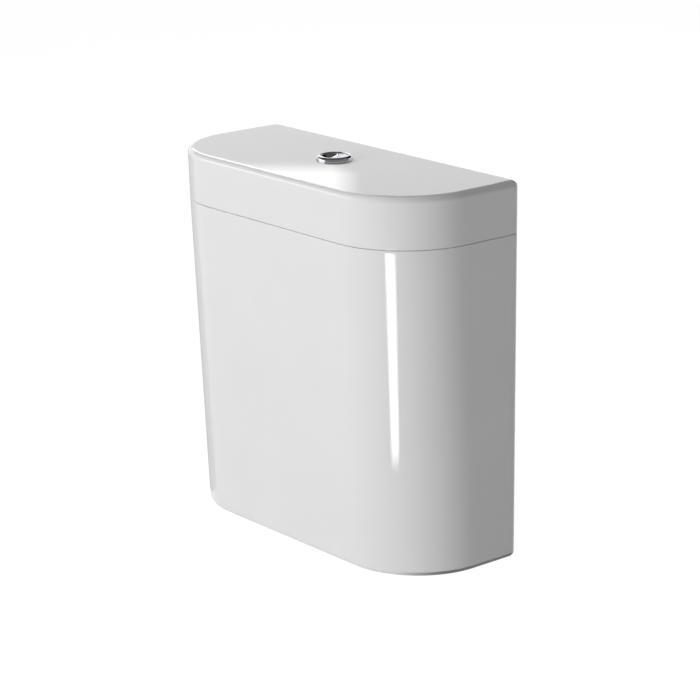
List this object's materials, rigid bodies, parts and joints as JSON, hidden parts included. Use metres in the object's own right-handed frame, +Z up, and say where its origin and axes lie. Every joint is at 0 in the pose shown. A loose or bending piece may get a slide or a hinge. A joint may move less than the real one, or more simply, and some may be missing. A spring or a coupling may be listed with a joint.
{
  "type": "toilet cistern",
  "caption": "Close-coupled ceramic toilet cistern with D-shaped plan, lift-off lid and round chrome dual-flush push button, holding a flush valve and a fill valve.",
  "frame": {"origin": "on the outlet axis, in the plane of the tank's foot, where the cistern stands on the pan's deck", "axes": "+X to the right seen from the front, +Y to the flat back, +Z up"},
  "size_m": [0.375, 0.1603, 0.4235],
  "materials": {
    "ceramic": "white glaze, gloss",
    "chrome": "bright chrome plating",
    "rubber": "moulded black rubber",
    "white_plastic": "moulded white plastic",
    "grey_plastic": "moulded grey plastic",
    "blue_plastic": "moulded blue plastic",
    "steel": "stainless steel"
  },
  "bodies": {
    "tank_body": {"tank": "ceramic", "valve_base": "white_plastic", "base_washer": "rubber", "valve_backnut": "white_plastic", "coupling_gasket": "rubber", "valve_cage": "grey_plastic", "guide_ring": "grey_plastic", "lever_bracket": "grey_plastic", "lever_pins": "steel", "fill_shank": "white_plastic", "shank_washer": "rubber", "shank_backnut": "white_plastic", "inlet_filter": "grey_plastic", "fill_riser": "white_plastic", "fill_head": "grey_plastic", "fill_cap": "blue_plastic", "diaphragm": "rubber", "arm_pin": "steel", "discharge_tube": "white_plastic", "coupling_bolts": "steel", "bolt_cone_washers": "rubber", "bolt_under_washers": "rubber", "bolt_steel_washers": "steel", "bolt_nuts": "steel"},
    "lid_body": {"lid": "ceramic", "button_bezel": "chrome", "bezel_washer": "rubber", "bezel_nut": "white_plastic", "full_button_spring": "steel", "half_button_spring": "steel"},
    "full_button": {"full_flush_button": "chrome", "full_push_rod": "blue_plastic"},
    "half_button": {"half_flush_button": "chrome", "half_push_rod": "blue_plastic"},
    "full_rocker": {"full_lever": "blue_plastic"},
    "half_rocker": {"half_lever": "blue_plastic"},
    "full_valve": {"main_tube": "white_plastic", "main_seal": "rubber", "full_lift_blade": "blue_plastic"},
    "half_valve": {"overflow_tube": "white_plastic", "half_seal": "rubber", "half_lift_blade": "blue_plastic"},
    "float_body": {"fill_float": "white_plastic", "float_link": "blue_plastic"},
    "float_lever": {"float_arm": "blue_plastic"}
  },
  "joints": [
    {"name": "lid_lift", "type": "slide", "parent": "tank_body", "child": "lid_body", "axis": [0, 0, 1], "range_m": [0, 0.15]},
    {"name": "full_press", "type": "slide", "parent": "lid_body", "child": "full_button", "axis": [0, 0, -1], "range_m": [0, 0.008], "stiffness_N_per_m": 150, "springref_m": -0.02, "deforming": ["full_button_spring"]},
    {"name": "half_press", "type": "slide", "parent": "lid_body", "child": "half_button", "axis": [0, 0, -1], "range_m": [0, 0.008], "stiffness_N_per_m": 150, "springref_m": -0.02, "deforming": ["half_button_spring"]},
    {"name": "full_rock", "type": "hinge", "parent": "tank_body", "child": "full_rocker", "pos_m": [0.028, -0.012, 0.284], "axis": [0, -1, 0], "range_deg": [0, 22.63]},
    {"name": "half_rock", "type": "hinge", "parent": "tank_body", "child": "half_rocker", "pos_m": [-0.028, -0.012, 0.284], "axis": [0, 1, 0], "range_deg": [0, 22.63]},
    {"name": "full_lift", "type": "slide", "parent": "tank_body", "child": "full_valve", "axis": [0, 0, 1], "range_m": [0, 0.0112]},
    {"name": "half_lift", "type": "slide", "parent": "full_valve", "child": "half_valve", "axis": [0, 0, 1], "range_m": [0, 0.0112]},
    {"name": "float_rise", "type": "slide", "parent": "tank_body", "child": "float_body", "axis": [0, 0, 1], "range_m": [0, 0.012]},
    {"name": "float_rock", "type": "hinge", "parent": "tank_body", "child": "float_lever", "pos_m": [-0.11, 0.005, 0.261], "axis": [0, -1, 0], "range_deg": [0, 23.08]}
  ],
  "couplings": [
    {"joint": "full_rock", "follows": "full_press", "rad_per_m": 49.349},
    {"joint": "full_lift", "follows": "full_press", "ratio": 1.4},
    {"joint": "half_rock", "follows": "half_press", "rad_per_m": 49.349},
    {"joint": "half_lift", "follows": "half_press", "ratio": 1.4},
    {"joint": "float_rock", "follows": "float_rise", "rad_per_m": 33.56}
  ]
}
